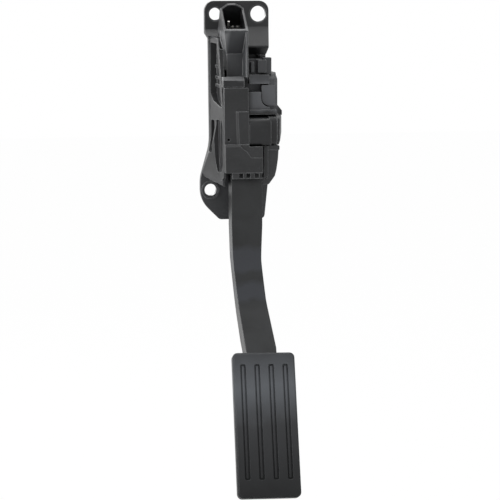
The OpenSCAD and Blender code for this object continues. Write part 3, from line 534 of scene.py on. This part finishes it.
@dataclass(frozen=True)
class MouldedPlastic:
    """A satin moulded plastic with grain, clouds, rubbed edges and painted light.

    The lit bands are zones of the whole surface painted paler, as painted light. The highlit
    edge bands only brighten the rubbed edges that lie in them, as a painted highlight.
    """

    name: str
    tone: Tone
    cloud_tone: Tone
    rub_and_highlight_tone: Tone
    roughness: float = 0.42
    specular: float = 0.3
    grain_depth: float = 0.00004
    edge_radius: float = 0.0009
    lit_bands: tuple[PaintedLightBand, ...] = ()
    highlit_edge_bands: tuple[PaintedLightBand, ...] = ()
    speckle_share: float = 0.35
    rough_spread: Span = (-0.05, 0.06)
    polish: float = 0.06

    def build(self, effects: Effects) -> bpy.types.Material:
        """Builds the material.

        Args:
            effects: the shared node groups.

        Returns:
            The material.
        """
        material, graph, shader = start_material(self.name)
        edges = effects.edges.place(graph, radius=self.edge_radius)
        grain = effects.grain.place(graph)
        clouds_and_light = graph.blend(grain["Clouds"], self.tone, self.cloud_tone)
        # Painted light: each lit band makes a zone of the surface paler.
        for lit_band in self.lit_bands:
            clouds_and_light = lit_band.lay(graph, effects, clouds_and_light)
        speckle = graph.math("MULTIPLY", grain["Speckle"], self.speckle_share)
        speckled = graph.blend(speckle, clouds_and_light, self.rub_and_highlight_tone)
        # Edges take this tone, which gives rub marks and a painted highlight. Inside the highlit
        # edge bands it is painted much paler.
        rub_and_highlight: Colour = self.rub_and_highlight_tone
        for highlight_band in self.highlit_edge_bands:
            rub_and_highlight = highlight_band.lay(graph, effects, rub_and_highlight)
        graph.link(graph.blend(edges["Rub highlight"], speckled, rub_and_highlight), shader.inputs["Base Color"])
        rough = graph.remap(grain["Clouds"], to=spread(self.roughness, self.rough_spread))
        sheen = graph.math("SUBTRACT", rough, graph.math("MULTIPLY", edges["Rub highlight"], self.polish))
        graph.link(sheen, shader.inputs["Roughness"])
        shader.inputs["Specular IOR Level"].default_value = self.specular
        add_bump(graph, grain["Height"], self.grain_depth, edges["Normal"], shader)
        return material


@dataclass(frozen=True)
class WorkedMetal:
    """A turned, ground or drawn metal with fine lines along one axis."""

    name: str
    tone: Tone
    streak_tone: Tone
    roughness: float = 0.3
    along: Place = (1.0, 0.06, 1.0)
    scale: float = 900.0
    line_depth: float = 0.00001
    edge_radius: float = 0.0002
    rough_spread: Span = (-0.05, 0.1)

    def build(self, effects: Effects) -> bpy.types.Material:
        """Builds the material.

        Args:
            effects: the shared node groups.

        Returns:
            The material.
        """
        material, graph, shader = start_material(self.name)
        edges = effects.edges.place(graph, radius=self.edge_radius)
        x, y, z = self.along
        lines = effects.lines.place(graph, scale=self.scale, along_x=x, along_y=y, along_z=z)
        streaked = graph.blend(lines["Streaks"], self.tone, self.streak_tone)
        graph.link(streaked, shader.inputs["Base Color"])
        rough = graph.remap(lines["Streaks"], to=spread(self.roughness, self.rough_spread))
        graph.link(rough, shader.inputs["Roughness"])
        shader.inputs["Metallic"].default_value = 1.0
        add_bump(graph, lines["Height"], self.line_depth, edges["Normal"], shader)
        return material


@dataclass(frozen=True)
class DenseRubber:
    """Rubber with a soft bloom and a fine pebbled skin."""

    name: str
    tone: Tone
    bloom_tone: Tone
    roughness: float = 0.55
    scuff_and_highlight_tone: Tone = (0.02, 0.02, 0.02)
    scuff_share: float = 0.5
    rough_mask: str = "Speckle"
    rough_spread: Span = (0.0, 0.12)
    specular: float = 0.45
    pebble_depth: float = 0.00005
    pebble_scale: float = 1700.0
    bloom_scale: float = 25.0
    edge_radius: float = 0.0006

    def lay_painted_light(self, graph: NodeGraph, effects: Effects, bloomed: Socket) -> Socket:
        """Lays painted light over the bloom; plain rubber has none, so its colour stays as it is.

        Args:
            graph: the material's tree.
            effects: the shared node groups.
            bloomed: the rubber's colour with its bloom.

        Returns:
            The colour, which stays the same on rubber without painted light.
        """
        return bloomed

    def build(self, effects: Effects) -> bpy.types.Material:
        """Builds the material.

        Args:
            effects: the shared node groups.

        Returns:
            The material.
        """
        material, graph, shader = start_material(self.name)
        edges = effects.edges.place(graph, radius=self.edge_radius)
        grain = effects.grain.place(
            graph, grain_scale=self.pebble_scale, cloud_scale=self.bloom_scale
        )
        bloomed = graph.blend(grain["Clouds"], self.tone, self.bloom_tone)
        lit_colour = self.lay_painted_light(graph, effects, bloomed)
        # Edges take the scuff tone: scuffs and a painted highlight along each edge.
        scuff_and_highlight = graph.math("MULTIPLY", edges["Rub highlight"], self.scuff_share)
        graph.link(graph.blend(scuff_and_highlight, lit_colour, self.scuff_and_highlight_tone), shader.inputs["Base Color"])
        rough = graph.remap(grain[self.rough_mask], to=spread(self.roughness, self.rough_spread))
        graph.link(rough, shader.inputs["Roughness"])
        shader.inputs["Specular IOR Level"].default_value = self.specular
        add_bump(graph, grain["Height"], self.pebble_depth, edges["Normal"], shader)
        return material


@dataclass(frozen=True)
class PaintedLightRubber(DenseRubber):
    """The pad's rubber, painted paler towards its top as painted light, with a painted sheen in a
    band below its top edge.
    """

    scuff_and_highlight_tone: Tone = (0.06, 0.063, 0.067)
    rough_mask: str = "Clouds"
    rough_spread: Span = (-0.03, 0.06)
    specular: float = 0.2
    # Painted light over the upper pad, and a paler band of painted sheen.
    lit_top: PaintedLightBand = PaintedLightBand(-0.305, 0.0, (0.029, 0.03, 0.032), 0.05)
    sheen: PaintedLightBand = PaintedLightBand(-0.2725, -0.246, (0.079, 0.085, 0.093), 0.026)

    def lay_painted_light(self, graph: NodeGraph, effects: Effects, bloomed: Socket) -> Socket:
        """Lays the painted light of the upper pad and the painted sheen band over the bloom.

        Args:
            graph: the material's tree.
            effects: the shared node groups.
            bloomed: the rubber's colour with its bloom.

        Returns:
            The colour with painted light.
        """
        return self.sheen.lay(graph, effects, self.lit_top.lay(graph, effects, bloomed))


@dataclass(frozen=True)
class LacqueredBoard:
    """A lacquered circuit board with faint tracks under the lacquer."""

    name: str
    tone: Tone
    track_tone: Tone
    edge_radius: float = 0.0002
    wander_scale: float = 260.0
    wander_reach: float = 0.002
    wander_span: Span = (0.3, 0.7)
    track_waves: float = 2600.0
    track_span: Span = (0.55, 0.75)
    track_depth: float = 0.00003
    rough_span: Span = (0.22, 0.34)
    coat: float = 0.4

    def build(self, effects: Effects) -> bpy.types.Material:
        """Builds the material.

        Args:
            effects: the shared node groups.

        Returns:
            The material.
        """
        material, graph, shader = start_material(self.name)
        edges = effects.edges.place(graph, radius=self.edge_radius)
        wander = graph.noise(self.wander_scale, 2.0)
        swing = graph.math("MULTIPLY", wander, self.wander_reach)
        across = graph.math("ADD", graph.place_axes()["Z"], swing)
        wave = graph.math("SINE", graph.math("MULTIPLY", across, self.track_waves))
        track = graph.remap(wave, self.track_span)
        graph.link(graph.blend(track, self.tone, self.track_tone), shader.inputs["Base Color"])
        rough = graph.remap(wander, self.wander_span, self.rough_span)
        graph.link(rough, shader.inputs["Roughness"])
        shader.inputs["Coat Weight"].default_value = self.coat
        add_bump(graph, track, self.track_depth, edges["Normal"], shader)
        return material


Recipe = MouldedPlastic | WorkedMetal | DenseRubber | LacqueredBoard

# Tones of the black mouldings, of their rub marks with painted edge highlight, of the brighter
# painted edge highlight, and a stretch that leaves a metal's lines without direction
NYLON = (0.012, 0.0125, 0.013)
RUB_AND_HIGHLIGHT = (0.17, 0.173, 0.178)
EDGE_HIGHLIGHT = (0.42, 0.425, 0.43)
EVEN = (1.0, 1.0, 1.0)


@dataclass
class FinishSet:
    """Every finish of the pedal, by its slot."""

    effects: Effects = field(default_factory=Effects)
    materials: dict[Finish, bpy.types.Material] = field(default_factory=dict)

    def recipes(self) -> dict[Finish, Recipe]:
        """Lists the finish of each slot."""
        return {
            Finish.HOUSING: MouldedPlastic(
                "black_nylon_housing",
                NYLON,
                (0.018, 0.0185, 0.0195),
                RUB_AND_HIGHLIGHT,
                # Painted light: paler bands over the lower flange and over the lower right side of
                # the housing, lifting their shade.
                lit_bands=(
                    PaintedLightBand(-0.16, -0.118, (0.034, 0.035, 0.037), 0.008),
                    PaintedLightBand(-0.12, -0.09, (0.031, 0.032, 0.034), left=0.0165),
                ),
                # Painted highlight: the edges in a narrow upright strip left of the connector are
                # much paler.
                highlit_edge_bands=(PaintedLightBand(-0.052, -0.016, EDGE_HIGHLIGHT, 0.002, -0.0172, -0.0126),),
            ),
            Finish.SENSOR: MouldedPlastic(
                "black_sensor_plastic",
                (0.007, 0.0073, 0.008),
                (0.011, 0.0115, 0.0125),
                RUB_AND_HIGHLIGHT,
                roughness=0.4,
                lit_bands=(
                    # Painted light on the connector's shaded front face and on the wing beside it,
                    # a painted highlight line along the ledge below the connector, and a pale strip
                    # of painted light on the connector's left flank.
                    PaintedLightBand(-0.046, -0.0095, (0.042, 0.0435, 0.0465), 0.003),
                    PaintedLightBand(-0.0685, -0.046, (0.077, 0.08, 0.086), left=0.0045),
                    PaintedLightBand(-0.0468, -0.0443, (0.12, 0.122, 0.126), 0.0005, right=0.0002),
                    PaintedLightBand(-0.044, -0.012, (0.13, 0.132, 0.136), 0.003, right=-0.0116),
                ),
                # Painted highlight: the connector's edges are much paler.
                highlit_edge_bands=(PaintedLightBand(-0.0515, -0.009, EDGE_HIGHLIGHT, 0.003, right=0.0046),),
            ),
            Finish.ARM: MouldedPlastic(
                "black_nylon_arm",
                NYLON,
                (0.018, 0.019, 0.02),
                (0.06, 0.062, 0.065),
                roughness=0.4,
                # Painted reflection: two paler bluish bands across the arm.
                lit_bands=tuple(
                    PaintedLightBand(low, high, (0.027, 0.029, 0.034))
                    for low, high in ((-0.184, -0.168), (-0.2045, -0.193))
                ),
            ),
            Finish.PAD: PaintedLightRubber(
                "black_pad_rubber", (0.004, 0.0042, 0.0045), (0.008, 0.0085, 0.009), 0.45
            ),
            Finish.BUSH: WorkedMetal(
                "blackened_bush", (0.035, 0.036, 0.038), (0.06, 0.061, 0.063)
            ),
            Finish.SCREW: WorkedMetal(
                "plated_screw", (0.62, 0.63, 0.64), (0.7, 0.7, 0.71), along=(0.1, 1.0, 1.0)
            ),
            Finish.AXLE: WorkedMetal(
                "ground_axle", (0.58, 0.59, 0.6), (0.68, 0.69, 0.7), 0.22, (1.0, 0.05, 0.05)
            ),
            Finish.SPRING: WorkedMetal(
                "drawn_wire", (0.42, 0.42, 0.43), (0.55, 0.55, 0.56), 0.34, EVEN
            ),
            Finish.TERMINAL: WorkedMetal(
                "tinned_blades", (0.72, 0.7, 0.67), (0.85, 0.83, 0.8), 0.45, (1.0, 0.2, 0.2)
            ),
            Finish.MAGNET: WorkedMetal(
                "sintered_magnet", (0.3, 0.3, 0.31), (0.36, 0.36, 0.37), 0.45, EVEN
            ),
            Finish.BOARD: LacqueredBoard("green_board", (0.012, 0.09, 0.04), (0.03, 0.16, 0.07)),
            Finish.CHIP: MouldedPlastic(
                "chip_compound", (0.02, 0.02, 0.02), (0.028, 0.028, 0.028), (0.05, 0.05, 0.05), 0.5
            ),
            Finish.NATURAL: MouldedPlastic(
                "natural_acetal", (0.66, 0.63, 0.55), (0.72, 0.69, 0.61), (0.76, 0.74, 0.68), 0.38
            ),
            Finish.BEARING: MouldedPlastic(
                "filled_bearing_plastic",
                (0.4, 0.32, 0.14),
                (0.46, 0.37, 0.17),
                (0.5, 0.42, 0.22),
                roughness=0.4,
            ),
            Finish.SEAL: DenseRubber(
                "black_seal_rubber", (0.012, 0.012, 0.012), (0.02, 0.02, 0.02), 0.6
            ),
        }

    def build(self) -> None:
        """Builds each material once."""
        for finish, recipe in self.recipes().items():
            self.materials[finish] = recipe.build(self.effects)


# Pieces


def smooth_shading(shape: bmesh.types.BMesh, sharp_above: float) -> None:
    """Shades a mesh smoothly, apart from its sharp and open edges.

    Args:
        shape: the bmesh.
        sharp_above: edges that turn more than this many degrees stay sharp.
    """
    limit = math.radians(sharp_above)
    for face in shape.faces:
        face.smooth = True
    for edge in shape.edges:
        edge.smooth = len(edge.link_faces) == 2 and edge.calc_face_angle(0.0) < limit


@dataclass
class SubAssembly:
    """A group of pieces that share the finishes and the CAD frame."""

    finishes: FinishSet
    made: list[str] = field(default_factory=list)

    def dress_node(self, node: str, finish: Finish) -> bpy.types.Object:
        """Gives a CAD node its finish and leaves its mesh as it is.

        Args:
            node: the CAD node's name.
            finish: the slot that its finish comes from.

        Returns:
            The node's object.
        """
        piece = frame["nodes"][node]
        piece.data.materials.clear()
        piece.data.materials.append(self.finishes.materials[finish])
        self.made.append(node)
        return piece

    def smooth_copy(
        self, node: str, name: str, finish: Finish, sharp_above: float = 32.0
    ) -> bpy.types.Object:
        """Makes a merged copy of a CAD node that shades smoothly over its rounded corners.

        Args:
            node: the CAD node that the copy stands for.
            name: the new piece's name.
            finish: the slot that its finish comes from.
            sharp_above: edges that turn more than this many degrees stay sharp.

        Returns:
            The new piece.
        """
        source = frame["nodes"][node]
        mesh = source.data.copy()
        mesh.name = name
        shape = bmesh.new()
        shape.from_mesh(mesh)
        bmesh.ops.remove_doubles(shape, verts=shape.verts, dist=WELD)
        bmesh.ops.dissolve_limit(
            shape,
            angle_limit=FLAT,
            verts=shape.verts,
            edges=shape.edges,
            use_dissolve_boundaries=False,
        )
        for face in shape.faces:
            face.material_index = 0
        smooth_shading(shape, sharp_above)
        shape.to_mesh(mesh)
        shape.free()
        mesh.materials.clear()
        piece = bpy.data.objects.new(name, mesh)
        bpy.context.scene.collection.objects.link(piece)
        even = piece.modifiers.new("even_shading", "WEIGHTED_NORMAL")
        even.keep_sharp = True
        even.weight = 50
        return self.join(piece, finish, Body(source["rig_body"]), node)

    def join(
        self, piece: bpy.types.Object, finish: Finish, body: Body, *nodes: str
    ) -> bpy.types.Object:
        """Dresses a new piece, sets it on its body and lets it stand for CAD nodes.

        Args:
            piece: the finished piece.
            finish: the slot that its finish comes from.
            body: the body that carries it.
            nodes: the CAD nodes that it stands for.

        Returns:
            The piece.
        """
        piece.data.materials.append(self.finishes.materials[finish])
        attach(piece, body.value)
        if nodes:
            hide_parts(*nodes)
        self.made.append(piece.name)
        return piece


def new_piece(name: str, shape: bmesh.types.BMesh, sharp_above: float = 35.0) -> bpy.types.Object:
    """Turns a bmesh into a piece at the origin.

    Args:
        name: the piece's name.
        shape: the bmesh, which is freed.
        sharp_above: edges that turn more than this many degrees stay sharp.

    Returns:
        The new object.
    """
    bmesh.ops.recalc_face_normals(shape, faces=shape.faces)
    smooth_shading(shape, sharp_above)
    mesh = bpy.data.meshes.new(name)
    shape.to_mesh(mesh)
    shape.free()
    piece = bpy.data.objects.new(name, mesh)
    bpy.context.scene.collection.objects.link(piece)
    return piece


@dataclass
class FlangedHousing(SubAssembly):
    """The main moulding, its front cover and the steel bushes in its flange."""

    def build(self) -> None:
        """Dresses the mouldings and the bushes."""
        self.smooth_copy("pedal_housing", "housing_moulding", Finish.HOUSING)
        self.smooth_copy("front_cover", "cover_moulding", Finish.HOUSING)
        for node in ("bush_upper_left", "bush_upper_right", "bush_lower"):
            self.dress_node(node, Finish.BUSH)


@dataclass
class PositionSensor(SubAssembly):
    """The connector and the rotary position sensor on the pivot."""

    def build(self) -> None:
        """Dresses the sensor's mouldings, its inner pieces and the blades."""
        self.smooth_copy("sensor_housing", "connector_moulding", Finish.SENSOR)
        self.smooth_copy("sensor_cover", "sensor_lid", Finish.SENSOR)
        self.dress_node("terminal_pins", Finish.TERMINAL)
        self.dress_node("sensor_board", Finish.BOARD)
        self.dress_node("hall_sensors", Finish.CHIP)
        self.dress_node("rotor_magnets", Finish.MAGNET)
        self.dress_node("magnet_carrier", Finish.NATURAL)
        self.dress_node("cover_seal", Finish.SEAL)
        self.dress_node("sensor_screws", Finish.SCREW)


@dataclass
class PivotSet(SubAssembly):
    """The axle and its plain bearings."""

    def build(self) -> None:
        """Dresses the axle and the bearings."""
        self.dress_node("pivot_axle", Finish.AXLE)
        self.dress_node("pivot_bush_left", Finish.BEARING)
        self.dress_node("pivot_bush_right", Finish.BEARING)


@dataclass
class HangingArm(SubAssembly):
    """The arm with its foot plate, and the pad with a raised bar along the floor of each groove."""

    pad_place: Place = (6.0 * MM, -86.9 * MM, -237.1 * MM)
    pad_tilt: float = 24.4
    pad_turn: float = 1.4
    groove_count: int = 4
    groove_pitch: float = 10.1 * MM
    groove_ends: Span = (-90.5 * MM, -8.5 * MM)
    groove_depth: float = 1.6 * MM
    bar_width: float = 2.0 * MM
    bar_drop: float = 0.55 * MM
    bar_seat: float = 0.15 * MM
    bar_gap: float = 1.0 * MM
    bar_round: float = 0.45 * MM

    def groove_bars(self) -> bpy.types.Object:
        """Raises the bars, with rounded edges, from the floors of the grooves.

        Returns:
            The bars, as one piece.
        """
        low, high = self.groove_ends[0] + self.bar_gap, self.groove_ends[1] - self.bar_gap
        height = self.groove_depth + self.bar_seat - self.bar_drop
        span = (self.groove_count - 1) * self.groove_pitch
        shape = bmesh.new()
        for groove in range(self.groove_count):
            across = groove * self.groove_pitch - span / 2
            middle = Vector((across, self.bar_drop + height / 2, (low + high) / 2))
            stretch = Matrix.Diagonal((self.bar_width, height, high - low, 1.0))
            bmesh.ops.create_cube(shape, size=1.0, matrix=Matrix.Translation(middle) @ stretch)
        # The edges that aren't sunk in the groove's floor
        free = [e for e in shape.edges if sum(v.co.y for v in e.verts) < 2 * self.groove_depth]
        bmesh.ops.bevel(
            shape,
            geom=free,
            offset=self.bar_round,
            affect="EDGES",
            segments=3,
            profile=0.5,
            material=-1,
            clamp_overlap=True,
        )
        tilt = Matrix.Rotation(math.radians(-self.pad_tilt), 4, "X")
        turn = Matrix.Rotation(math.radians(self.pad_turn), 4, "Y")
        shape.transform(Matrix.Translation(Vector(self.pad_place)) @ tilt @ turn)
        return new_piece("groove_bars", shape, sharp_above=50.0)

    def build(self) -> None:
        """Dresses the arm and the pad, and lays the bars in the pad's grooves."""
        self.smooth_copy("pedal_arm", "arm_moulding", Finish.ARM)
        self.smooth_copy("pedal_pad", "pad_cover", Finish.PAD)
        self.join(self.groove_bars(), Finish.PAD, Body.PEDAL)


@dataclass(frozen=True)
class Winding:
    """The sizes of one coil, with the node that it stands for.

    The radius runs from the spring's axis to the middle of the wire. The hand is 1 for
    right-hand winding and -1 for left.
    """

    name: str
    node: str
    radius: float
    wire: float
    turns: int
    hand: int


@dataclass
class ReturnSprings(SubAssembly):
    """The two nested coil springs with their seats."""

    windings: tuple[Winding, ...] = (
        Winding("outer_coil", "spring_outer", 6.2 * MM, 1.6 * MM, 6, 1),
        Winding("inner_coil", "spring_inner", 3.4 * MM, 1.2 * MM, 7, -1),
    )
    centre_y: float = -15.5 * MM
    low_z: float = -71.5 * MM
    high_z: float = -41.0 * MM
    pressed_share: float = 0.84
    steps_per_turn: int = 28
    wire_sides: int = 12

    def coil(self, winding: Winding) -> bpy.types.Object:
        """Winds one spring by a stepped spin.

        Args:
            winding: the coil's sizes.

        Returns:
            The coil.
        """
        shape = bmesh.new()
        wire_radius = winding.wire / 2
        steps = winding.turns * self.steps_per_turn
        rise = (self.high_z - self.low_z - winding.wire) / steps
        start = Vector((winding.radius, self.centre_y, self.low_z + wire_radius))
        upright = Matrix.Rotation(math.pi / 2, 4, "X")
        bmesh.ops.create_circle(
            shape,
            cap_ends=False,
            segments=self.wire_sides,
            radius=wire_radius,
            matrix=Matrix.Translation(start) @ upright,
        )
        bmesh.ops.spin(
            shape,
            geom=list(shape.edges),
            cent=Vector((0.0, self.centre_y, 0.0)),
            axis=Vector((0.0, 0.0, float(winding.hand))),
            dvec=Vector((0.0, 0.0, rise)),
            angle=2 * math.pi * winding.turns,
            steps=steps,
            use_merge=False,
        )
        bmesh.ops.holes_fill(shape, edges=[e for e in shape.edges if e.is_boundary], sides=0)
        return new_piece(winding.name, shape, sharp_above=50.0)

    def build(self) -> None:
        """Winds the springs and dresses their seats."""
        for winding in self.windings:
            piece = self.coil(winding)
            self.join(piece, Finish.SPRING, Body.BASE, winding.node)
            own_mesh(piece)
        self.dress_node("spring_shoe", Finish.NATURAL)
        self.dress_node("spring_cap", Finish.NATURAL)


@dataclass
class Buffers(SubAssembly):
    """The rubber stops at both ends of the travel."""

    def build(self) -> None:
        """Dresses the stops."""
        self.dress_node("idle_stop", Finish.SEAL)
        self.dress_node("travel_stop", Finish.SEAL)


# Studio


@dataclass(frozen=True)
class Lamp:
    """A square soft lamp that looks at a point."""

    name: str
    place: Place
    size: float
    power: float

    def build(self, target: Vector) -> None:
        """Adds the lamp.

        Args:
            target: the point that it looks at.
        """
        data = bpy.data.lights.new(self.name, "AREA")
        data.size = self.size
        data.energy = self.power
        lamp = bpy.data.objects.new(self.name, data)
        lamp.location = self.place
        lamp.rotation_euler = (target - Vector(self.place)).to_track_quat("-Z", "Y").to_euler()
        bpy.context.scene.collection.objects.link(lamp)


@dataclass
class Studio:
    """A white studio with a pale floor, soft lamps and the photograph's camera."""

    target: Vector = field(default_factory=lambda: Vector((0.003128, -0.045, -0.169886)))
    azimuth: float = -9.0
    elevation: float = 9.0
    roll: float = -0.159
    distance: float = 1.2
    lens: float = 118.55
    floor_z: float = -0.62
    floor_half: float = 6.0
    floor_tones: Span = (0.8, 0.82)
    floor_glow: float = 0.98
    ambient: float = 0.62
    lamps: tuple[Lamp, ...] = (
        Lamp("key_lamp", (-1.8, -0.6, 0.6), 0.8, 27.0),
        Lamp("fill_lamp", (1.3, -1.5, 0.3), 1.0, 4.0),
        Lamp("top_lamp", (0.05, 0.2, 1.5), 0.9, 22.0),
        Lamp("back_lamp", (-0.4, 1.6, 0.5), 1.0, 8.0),
    )

    def build_floor(self) -> None:
        """Adds the floor, which is white to the camera and keeps the object's shadow."""
        shape = bmesh.new()
        place = Matrix.Translation(Vector((0.0, 0.0, self.floor_z)))
        bmesh.ops.create_grid(
            shape, x_segments=1, y_segments=1, size=self.floor_half, matrix=place
        )
        floor = new_piece("studio_floor", shape)
        material, graph, shader = start_material("pale_floor")
        shader.inputs["Roughness"].default_value = 0.8
        tone = graph.noise(3.0, 2.0)
        pale = graph.blend(tone, *((level, level, level) for level in self.floor_tones))
        graph.link(pale, shader.inputs["Base Color"])
        glow = graph.add("Emission", Strength=1.0)
        mix = graph.add("MixShader")
        seen = graph.math("MULTIPLY", self.seen_rays(graph), self.floor_glow)
        graph.link(seen, mix.inputs["Fac"])
        graph.link(shader.outputs["BSDF"], mix.inputs[1])
        graph.link(glow.outputs["Emission"], mix.inputs[2])
        output = next(n for n in graph.tree.nodes if n.type == "OUTPUT_MATERIAL")
        graph.link(mix.outputs["Shader"], output.inputs["Surface"])
        floor.data.materials.append(material)

    def seen_rays(self, graph: NodeGraph) -> Socket:
        """Marks the rays that see the background directly, in gloss or through glass.

        Args:
            graph: the tree of the floor or the world.

        Returns:
            A socket that is 1 on such a ray.
        """
        path = graph.add("LightPath")
        seen = graph.math("MAXIMUM", path.outputs["Is Camera Ray"], path.outputs["Is Glossy Ray"])
        return graph.math("MAXIMUM", seen, path.outputs["Is Transmission Ray"])

    def build_world(self) -> None:
        """Sets a white world that lights the object at a plain level."""
        world = bpy.data.worlds.new("studio_world")
        world.use_nodes = True
        world.node_tree.nodes.clear()
        graph = NodeGraph(world.node_tree)
        dim = graph.add("Background", Strength=self.ambient)
        white = graph.add("Background", Strength=1.0)
        for node in (dim, white):
            node.inputs["Color"].default_value = (1.0, 1.0, 1.0, 1.0)
        mix = graph.add("MixShader")
        output = graph.add("OutputWorld")
        graph.link(self.seen_rays(graph), mix.inputs["Fac"])
        graph.link(dim.outputs["Background"], mix.inputs[1])
        graph.link(white.outputs["Background"], mix.inputs[2])
        graph.link(mix.outputs["Shader"], output.inputs["Surface"])
        bpy.context.scene.world = world

    def build_camera(self) -> None:
        """Adds the camera at the photograph's angle."""
        turn, rise = math.radians(self.azimuth), math.radians(self.elevation)
        level = math.cos(rise)
        back = Vector((math.sin(turn) * level, -math.cos(turn) * level, math.sin(rise)))
        right = Vector((0.0, 0.0, 1.0)).cross(back).normalized()
        up = back.cross(right)
        lean = math.radians(self.roll)
        right_leant = right * math.cos(lean) + up * math.sin(lean)
        up_leant = up * math.cos(lean) - right * math.sin(lean)
        data = bpy.data.cameras.new("photo_camera")
        data.lens = self.lens
        data.sensor_width = 36.0
        data.clip_start = 0.05
        data.clip_end = 40.0
        camera = bpy.data.objects.new("photo_camera", data)
        turned = Matrix((right_leant, up_leant, back)).transposed().to_4x4()
        camera.matrix_world = Matrix.Translation(self.target + back * self.distance) @ turned
        bpy.context.scene.collection.objects.link(camera)
        bpy.context.scene.camera = camera

    def build(self) -> None:
        """Builds the studio."""
        self.build_floor()
        self.build_world()
        for lamp in self.lamps:
            lamp.build(self.target)
        self.build_camera()
        bpy.context.scene.view_settings.view_transform = "Standard"


def main() -> None:
    """Builds the pedal and its studio, and reports each piece."""
    logging.basicConfig(level=logging.INFO, format="%(message)s")
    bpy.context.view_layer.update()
    finishes = FinishSet()
    finishes.build()
    for kind in (FlangedHousing, PositionSensor, PivotSet, HangingArm, ReturnSprings, Buffers):
        assembly = kind(finishes)
        assembly.build()
        for name in assembly.made:
            log.info("%s: %s", kind.__name__, name)
    Studio().build()


if __name__ == "__main__":
    main()
